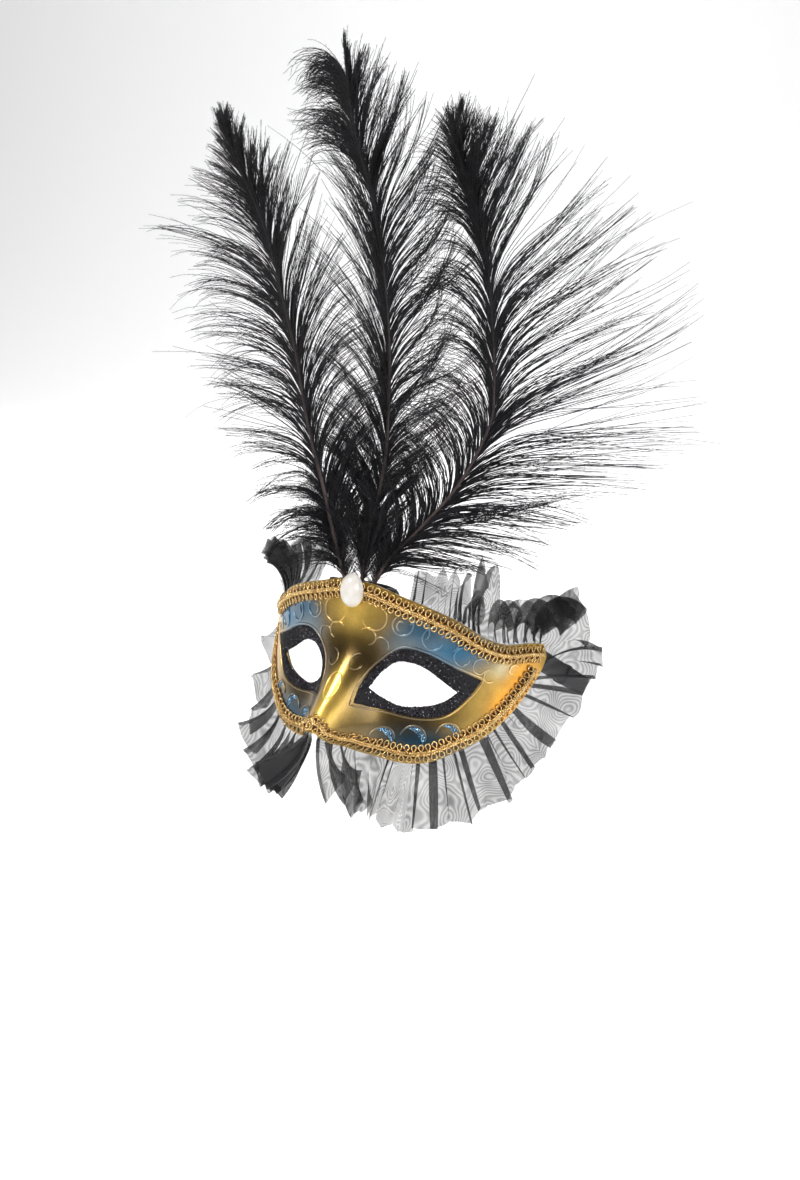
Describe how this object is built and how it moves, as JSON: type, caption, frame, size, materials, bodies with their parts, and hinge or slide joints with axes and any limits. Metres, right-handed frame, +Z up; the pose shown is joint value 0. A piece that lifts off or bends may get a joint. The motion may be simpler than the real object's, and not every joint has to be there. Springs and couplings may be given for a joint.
{
  "type": "venetian masquerade mask",
  "caption": "Painted half mask wrapped round the eyes and nose, with gold braid edging, glitter eye bands, a pearl, a gathered organza ruffle, ostrich plumes and ribbon ties.",
  "frame": {"origin": "middle of the brow pad's flat rear face, which rests on the wearer's forehead", "axes": "+Z up along the plumes, -Y the way the mask faces, +X the wearer's left"},
  "size_m": [0.2961, 0.1461, 0.3968],
  "materials": {
    "painted_shell": "metallic paint, gold and blue, rubbed",
    "black_flock": "matt flock",
    "black_glitter": "glitter in clear glue",
    "gold_gimp_braid": "metallic yarn",
    "pearl": "pearl lustre",
    "black_organza": "sheer crisp weave",
    "gather_tape": "woven tape",
    "brow_felt": "matt felt",
    "brow_foam": "soft foam",
    "quill_keratin": "dyed quill",
    "ostrich_barbs": "dyed feather barbs",
    "basal_down": "dyed curly down",
    "binding_wire": "blackened wire",
    "anchor_felt": "matt felt",
    "black_satin": "satin",
    "keeper_elastic": "matt elastic"
  },
  "bodies": {
    "mask": {"mask_shell": "painted_shell", "back_lining": "black_flock", "eye_glitter_band_right": "black_glitter", "eye_glitter_band_left": "black_glitter", "braid_top_right": "gold_gimp_braid", "braid_top_left": "gold_gimp_braid", "braid_low_right": "gold_gimp_braid", "braid_low_left": "gold_gimp_braid", "pearl_cabochon": "pearl", "organza_ruffle_right": "black_organza", "organza_ruffle_left": "black_organza", "gather_tape_right": "gather_tape", "gather_tape_left": "gather_tape", "brow_pad": "brow_felt", "brow_pad_spacer": "brow_foam", "ribbon_anchor_patch_right": "anchor_felt", "ribbon_anchor_patch_left": "anchor_felt"},
    "plume_spray": {"quill_left": "quill_keratin", "quill_middle": "quill_keratin", "quill_right": "quill_keratin", "vane_left_outer": "ostrich_barbs", "vane_left_inner": "ostrich_barbs", "vane_middle_outer": "ostrich_barbs", "vane_middle_inner": "ostrich_barbs", "vane_right_outer": "ostrich_barbs", "vane_right_inner": "ostrich_barbs", "basal_down_left": "basal_down", "quill_binding": "binding_wire"},
    "right_tie": {"ribbon_tie_right": "black_satin", "ribbon_keeper_right": "keeper_elastic"},
    "left_tie": {"ribbon_tie_left": "black_satin", "ribbon_keeper_left": "keeper_elastic"}
  },
  "joints": [
    {"name": "plume_spray_flex", "type": "hinge", "parent": "mask", "child": "plume_spray", "pos_m": [0, -0.0065, -0.0014], "axis": [1, 0, 0], "range_deg": [-5, 5], "stiffness_Nm_per_rad": 0.6},
    {"name": "right_tie_swing", "type": "hinge", "parent": "mask", "child": "right_tie", "pos_m": [0.07868, 0.04454, -0.02747], "axis": [0, 0, 1], "range_deg": [-4, 50]},
    {"name": "left_tie_swing", "type": "hinge", "parent": "mask", "child": "left_tie", "pos_m": [-0.07868, 0.04454, -0.02747], "axis": [0, 0, 1], "range_deg": [-50, 4]}
  ]
}
